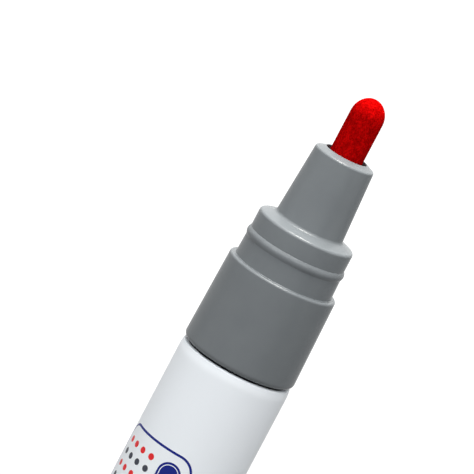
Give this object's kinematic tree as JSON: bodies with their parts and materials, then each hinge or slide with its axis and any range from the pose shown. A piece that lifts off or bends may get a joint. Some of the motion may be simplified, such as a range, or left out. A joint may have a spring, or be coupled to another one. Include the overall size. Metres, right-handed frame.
{
  "type": "permanent marker",
  "caption": "Valve-action permanent marker with a white metal barrel, grey front section, red bullet nib and a red cap posted on its tail.",
  "frame": {"origin": "centre of the cap's flat closed end, which the marker stands on", "axes": "+Z along the marker's axis, from the cap towards the nib; X and Y across it"},
  "size_m": [0.0152, 0.0152, 0.1611],
  "materials": {
    "white_enamel": "white baked enamel on a drawn aluminium can",
    "grey_plastic": "mid-grey satin moulded polypropylene",
    "red_fibre": "bonded polyester fibre soaked with red ink",
    "black_rubber": "black rubber",
    "natural_plastic": "natural uncoloured plastic",
    "spring_steel": "drawn stainless spring wire",
    "ball_steel": "polished steel ball",
    "red_plastic": "glossy red moulded plastic in the ink's colour"
  },
  "bodies": {
    "cap": {"outer_cap": "red_plastic", "inner_cap": "natural_plastic"},
    "barrel": {"barrel": "white_enamel", "front_collar": "grey_plastic", "mouth_gasket": "black_rubber", "valve_packing": "black_rubber", "valve_case": "natural_plastic", "spring_retainer": "natural_plastic", "valve_spring": "spring_steel"},
    "nib": {"nib": "red_fibre"},
    "valve_rod": {"valve_rod": "natural_plastic"},
    "mixing_ball": {"mixing_ball": "ball_steel"}
  },
  "joints": [
    {"name": "cap_pull", "type": "slide", "parent": "cap", "child": "barrel", "axis": [0, 0, 1], "range_m": [0, 0.045]},
    {"name": "valve_press", "type": "slide", "parent": "barrel", "child": "valve_rod", "axis": [0, 0, -1], "range_m": [0, 0.002], "stiffness_N_per_m": 300, "springref_m": -0.001, "deforming": ["valve_spring"]},
    {"name": "nib_press", "type": "slide", "parent": "barrel", "child": "nib", "axis": [0, 0, -1], "range_m": [0, 0.002]},
    {"name": "ball_rattle", "type": "slide", "parent": "barrel", "child": "mixing_ball", "axis": [0, 0, 1], "range_m": [0, 0.075]}
  ],
  "couplings": [
    {"joint": "nib_press", "follows": "valve_press", "ratio": 1}
  ]
}
